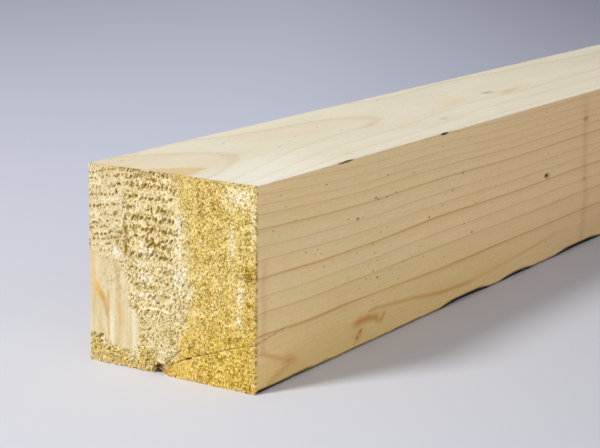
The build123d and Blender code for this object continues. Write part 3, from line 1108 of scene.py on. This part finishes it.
class Graph:
    """A material's nodes, with one short call for each kind."""

    def __init__(self, name, roughness, gloss):
        self.material = bpy.data.materials.new(name)
        self.material.use_nodes = True
        self.tree = self.material.node_tree
        self.shader = self.tree.nodes["Principled BSDF"]
        self.shader.inputs["Roughness"].default_value = roughness
        self.shader.inputs["Specular IOR Level"].default_value = gloss

    def feed(self, socket, value):
        """Sets an input to a value, or links the output of another node to it."""
        if isinstance(value, bpy.types.NodeSocket):
            self.tree.links.new(value, socket)
        else:
            socket.default_value = value

    def node(self, kind, inputs=(), **settings):
        """A node with its settings and inputs, given as values or as other nodes' outputs."""
        node = self.tree.nodes.new(kind)
        for name, value in settings.items():
            setattr(node, name, value)
        for key, value in dict(inputs).items():
            self.feed(node.inputs[key], value)
        return node

    def math(self, operation, a, b=0.0):
        """One sum, by its name."""
        return self.node("ShaderNodeMath", {0: a, 1: b}, operation=operation).outputs[0]

    def plus(self, a, b):
        """Two numbers added."""
        return self.math("ADD", a, b)

    def times(self, a, b):
        """Two numbers multiplied."""
        return self.math("MULTIPLY", a, b)

    def range(self, value, start, end, low=0.0, high=1.0):
        """A number taken from one range to another, smoothly and held at the ends."""
        inputs = {"Value": value, "From Min": start, "From Max": end, "To Min": low, "To Max": high}
        return self.node("ShaderNodeMapRange", inputs, interpolation_type="SMOOTHSTEP").outputs[0]

    def mix(self, share, a, b, blend="MIX"):
        """Two colours blended."""
        inputs = {0: share, 6: a, 7: b}
        return self.node("ShaderNodeMix", data_type="RGBA", blend_type=blend, inputs=inputs).outputs[2]

    def attribute(self, name, output="Fac"):
        """What the mesh keeps under a name."""
        return self.node("ShaderNodeAttribute", attribute_name=name).outputs[output]

    def place(self):
        """The place on the model, in metres."""
        return self.node("ShaderNodeTexCoord").outputs["Object"]

    def scaled(self, vector, scales):
        """A vector or colour multiplied part by part, or by one number."""
        inputs = {0: vector, 1: scales}
        return self.node("ShaderNodeVectorMath", inputs, operation="MULTIPLY").outputs[0]

    def rotated(self, vector, axis, angle):
        """A vector turned about an axis."""
        inputs = {"Vector": vector, "Angle": angle}
        return self.node("ShaderNodeVectorRotate", inputs, rotation_type=axis).outputs[0]

    def right_spot(self, squeezed, t, z, reach):
        """1 at a place on the right face, in millimetres, and 0 from this far up or down, or
        twice as far along. The place vector comes squeezed to half its length along Y."""
        middle = (RIGHT * MM, 0.5 * (NEAR_Y + t) * MM, z * MM)
        away = self.node("ShaderNodeVectorMath", {0: squeezed, 1: middle}, operation="DISTANCE")
        return self.range(away.outputs["Value"], 0.3 * reach * MM, reach * MM, 1.0, 0.0)

    def ticks(self, place, stretch):
        """Small separate marks, 1 inside them, in about half of the cells of a stretched scatter."""
        inputs = {"Vector": self.scaled(place, [s / MM for s in stretch]), "Scale": 1.0}
        points = self.node("ShaderNodeTexVoronoi", inputs)
        near = self.range(points.outputs["Distance"], 0.24, 0.40, 1.0, 0.0)
        random = self.node("ShaderNodeSeparateXYZ", {0: points.outputs["Color"]}).outputs["X"]
        return self.times(near, self.range(random, 0.35, 0.7))

    def noise(self, place, stretch, detail=2.0):
        """Noise stretched by so many cells for each mm along x, y and z."""
        vector = self.scaled(place, [s / MM for s in stretch])
        inputs = {"Vector": vector, "Scale": 1.0, "Detail": detail}
        return self.node("ShaderNodeTexNoise", inputs).outputs["Fac"]


# How far the torn crumbs lean to the right
CRUMB_LEAN = radians(-20)

# Pin knots on the right face: how far along and up, reach and strength
PIN_KNOTS = [
    (313.8, 55.0, 2.0, 0.95), (315.5, 54.6, 2.8, 0.4), (370.0, 83.0, 2.6, 0.35),
    (372.0, 44.0, 2.0, 0.2), (92.6, 5.6, 0.8, 0.6), (95.6, 8.4, 0.8, 0.6), (21.9, 92.4, 0.55, 0.5),
    (26.2, 86.2, 0.5, 0.5), (109.2, 76.2, 0.9, 0.7), (120.1, 74.8, 0.65, 0.6),
    (129.5, 75.8, 0.6, 0.7), (82.3, 69.8, 0.7, 0.5), (91.5, 68.4, 1.05, 0.65),
    (96.3, 68.3, 0.6, 0.4), (114.6, 57.2, 0.7, 0.5), (106.8, 52.5, 0.65, 0.5),
    (91.1, 50.8, 0.55, 0.5), (109.0, 47.2, 0.6, 0.6), (54.3, 59.7, 0.5, 0.5), (52.1, 58.0, 0.5, 0.4),
    (60.0, 50.0, 0.6, 0.6), (83.4, 39.6, 0.5, 0.5), (100.6, 35.1, 0.6, 0.6), (112.0, 33.5, 0.85, 0.7),
    (139.1, 36.7, 0.6, 0.4), (157.3, 41.4, 0.7, 0.4), (192.4, 66.3, 0.9, 0.4),
    (204.0, 74.1, 0.9, 0.5), (216.9, 37.8, 1.0, 0.6), (181.0, 60.0, 0.8, 0.35),
]
# Resin dashes crowd around this place on the right face: along, up and reach
DASH_CROWD = (95.0, 58.0, 55.0)


def with_growth_lines(g, place, smooth):
    """The mesh's own paint with the growth lines drawn on it."""
    base = g.attribute("wood", "Color")
    wander = g.times(0.10, g.noise(place, (0.5, 0.012, 0.5)))
    part = g.math("FRACT", g.plus(g.attribute("ring"), wander))
    thin = g.times(g.range(part, 0.79, 0.90), g.range(part, 0.91, 0.98, 1.0, 0.0))
    broad = g.times(g.range(part, 0.3, 0.88), g.range(part, 0.91, 1.0, 1.0, 0.0))
    line = g.plus(g.times(thin, 0.62), g.times(broad, 0.22))
    line = g.times(g.times(line, g.attribute("line")), smooth)
    return g.mix(line, base, g.mix(1.0, base, rgba(LINE_TINT), "MULTIPLY"))


def with_specks(g, colour, place, smooth):
    """A colour with the resin dashes of sawn faces and the pin knots of the right face."""
    squeezed = g.scaled(place, (1.0, 0.5, 1.0))
    crowd = g.right_spot(squeezed, *DASH_CROWD)
    dash = g.plus(g.noise(place, (0.62, 0.22, 0.62), 0.0), g.times(crowd, 0.04))
    dash = g.times(g.range(dash, 0.85, 0.87), smooth)
    colour = g.mix(g.times(dash, 0.7), colour, rgba(DASH_BROWN))
    pins = 0.0
    for t, z, reach, strength in PIN_KNOTS:
        pins = g.math("MAXIMUM", pins, g.times(g.right_spot(squeezed, t, z, reach), strength))
    return g.mix(pins, colour, rgba(PIN_BROWN))


def with_crumbs(g, colour, place, torn):
    """A colour with darker gaps, partly painted shade, and painted highlights on the tips of the crumbs of
    torn wood.
    """
    leaning = g.rotated(place, "Y_AXIS", CRUMB_LEAN)
    crumb = g.noise(leaning, (1.25, 0.2, 0.55), 1.0)
    tick = g.ticks(leaning, (0.9, 0.02, 0.5))
    gap = g.times(g.math("MAXIMUM", g.range(crumb, 0.30, 0.46, 0.5, 0.0), tick), torn)
    tip = g.times(g.range(crumb, 0.54, 0.70, 0.0, 0.5), g.range(torn, 0.6, 1.0))
    colour = g.mix(gap, colour, rgba(CRUMB_GAP))
    return g.mix(tip, colour, g.mix(0.5, colour, rgba(CRUMB_TIP)))


def wood_material():
    """Softwood, sawn and torn: its grain, specks, crumbs and checks over the mesh's own paint."""
    g = Graph("softwood", roughness=0.78, gloss=0.06)
    place = g.place()
    torn = g.attribute("torn")
    smooth = g.math("SUBTRACT", 1.0, torn)
    streak = g.noise(place, (1.5, 0.022, 1.5), 4.0)
    fine = g.noise(place, (4.5, 0.12, 4.5), 3.0)
    mottle = g.noise(place, (0.8, 0.3, 0.8), 3.0)
    shade = g.plus(g.range(streak, 0.3, 0.7, 0.955, 1.025), g.range(mottle, 0.3, 0.7, -0.03, 0.03))
    shade = g.plus(shade, g.range(fine, 0.3, 0.7, -0.02, 0.02))
    colour = g.scaled(with_growth_lines(g, place, smooth), shade)
    colour = with_specks(g, colour, place, smooth)
    colour = with_crumbs(g, colour, place, torn)
    broken = g.times(0.22, g.noise(place, (0.35, 0.35, 0.35), 2.0))
    crack = g.range(g.plus(g.attribute("check"), broken), 0.10, 0.36, 0.9, 0.0)
    g.feed(g.shader.inputs["Base Color"], g.mix(crack, colour, rgba(CRACK_BROWN)))
    relief = g.plus(g.times(fine, 0.6), g.times(streak, 0.4))
    bump = g.node("ShaderNodeBump", {"Height": relief, "Strength": 0.5, "Distance": 0.12 * MM})
    g.feed(g.shader.inputs["Normal"], bump.outputs[0])
    return g.material


# The camera, where the photographer's stood
CAMERA_PLACE = (480.16, NEAR_Y - 617.91, 254.51)
CAMERA_AZIMUTH = radians(33.253)
CAMERA_ELEVATION = radians(12.841)
CAMERA_ROLL = radians(0.490)
CAMERA_LENS = 100.974
CAMERA_SENSOR = 36.0

# The floor's colour shifts along the camera's line of sight, and painted light falloff darkens it to both
# sides of a line, more to the right
FLOOR_REACH = 30000.0
FLOOR_START = -870.0
FLOOR_FADE = 1000.0
FLOOR_MIDDLE = -450.0
FLOOR_BRIGHTEST = 1.03
FLOOR_LOSS = 0.50
FLOOR_LOSS_RIGHT = 0.27
FLOOR_SOFTENING = 50.0
# No darker than it is this far to the side
FLOOR_WIDE = 560.0
FLOOR_NEAR = (0.680, 0.689, 0.748)
FLOOR_FAR = (0.655, 0.680, 0.790)

# The light
KEY_WAY = Vector((-0.51, -1.0, 1.0))
KEY_STRENGTH = 2.7
KEY_SPREAD = radians(14)
KEY_DISTANCE = 2.5
KEY_COLOUR = (1.0, 0.99, 0.97)
FILL_WAY = Vector((0.85, -0.5, 0.2))
FILL_STRENGTH = 1.0
FILL_SPREAD = radians(70)
FILL_COLOUR = (1.0, 0.975, 0.965)
SKY = (0.95, 0.965, 1.03, 1.0)
SKY_STRENGTH = 0.37


def make_floor():
    """A pale floor with painted light falloff that darkens it slowly to both sides, and which turns bluer
    with distance.
    """
    bpy.ops.mesh.primitive_plane_add(size=2 * FLOOR_REACH * MM)
    floor = bpy.context.object
    floor.name = "floor"
    g = Graph("floor", roughness=0.9, gloss=0.1)
    place = g.rotated(g.place(), "Z_AXIS", -CAMERA_AZIMUTH)
    parts = g.node("ShaderNodeSeparateXYZ", {0: place})
    away = g.math("SUBTRACT", parts.outputs["Y"], FLOOR_START * MM)
    colour = g.mix(g.range(away, 0.0, FLOOR_FADE * MM), rgba(FLOOR_NEAR), rgba(FLOOR_FAR))
    aside = g.math("SUBTRACT", parts.outputs["X"], FLOOR_MIDDLE * MM)
    aside = g.math("MINIMUM", g.math("MAXIMUM", aside, -FLOOR_WIDE * MM), FLOOR_WIDE * MM)
    spread = g.math("SQRT", g.plus(g.times(aside, aside), (FLOOR_SOFTENING * MM) ** 2))
    loss = g.plus(g.times(spread, FLOOR_LOSS), g.times(aside, FLOOR_LOSS_RIGHT))
    kept = g.math("SUBTRACT", FLOOR_BRIGHTEST, loss)
    g.feed(g.shader.inputs["Base Color"], g.scaled(colour, kept))
    floor.data.materials.append(g.material)


def add_lamp(light, way, place=(0.0, 0.0, 0.0)):
    """Puts a light at a place, shining from a direction."""
    lamp = bpy.data.objects.new(light.name, light)
    lamp.rotation_mode = "QUATERNION"
    lamp.rotation_quaternion = way.to_track_quat("Z", "Y")
    lamp.location = place
    bpy.context.scene.collection.objects.link(lamp)


def make_light():
    """A round soft key to the left of the near end and above it, a weak fill and an even sky."""
    key = bpy.data.lights.new("key", "AREA")
    key.shape = "DISK"
    key.size = 2 * KEY_DISTANCE * tan(KEY_SPREAD / 2)
    key.energy = KEY_STRENGTH * pi * KEY_DISTANCE ** 2
    key.color = KEY_COLOUR
    near_end = Vector((0.0, NEAR_Y * MM, HEIGHT * MM / 2))
    add_lamp(key, KEY_WAY.normalized(), near_end + KEY_DISTANCE * KEY_WAY.normalized())
    fill = bpy.data.lights.new("fill", "SUN")
    fill.energy = FILL_STRENGTH
    fill.angle = FILL_SPREAD
    fill.color = FILL_COLOUR
    add_lamp(fill, FILL_WAY)
    world = bpy.data.worlds.new("sky")
    bpy.context.scene.world = world
    world.use_nodes = True
    sky = world.node_tree.nodes["Background"]
    sky.inputs["Color"].default_value = SKY
    sky.inputs["Strength"].default_value = SKY_STRENGTH


def make_camera():
    """The camera at its place, turned to its line of sight and rolled."""
    around = Matrix.Rotation(CAMERA_AZIMUTH, 4, "Z")
    down = Matrix.Rotation(pi / 2 - CAMERA_ELEVATION, 4, "X")
    roll = Matrix.Rotation(CAMERA_ROLL, 4, "Z")
    data = bpy.data.cameras.new("camera")
    data.sensor_width = CAMERA_SENSOR
    data.lens = CAMERA_LENS
    data.clip_start, data.clip_end = 0.01, 100.0
    camera = bpy.data.objects.new("camera", data)
    camera.matrix_world = Matrix.Translation(Vector(CAMERA_PLACE) * MM) @ around @ down @ roll
    bpy.context.scene.collection.objects.link(camera)
    bpy.context.scene.camera = camera


timber = make_timber()
fibres = make_fibres()
wood = wood_material()
for piece in (timber, fibres):
    piece.data.materials.append(wood)
    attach(piece, "root")
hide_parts(NODE)

make_floor()
make_light()
make_camera()
bpy.context.scene.view_settings.view_transform = "Standard"
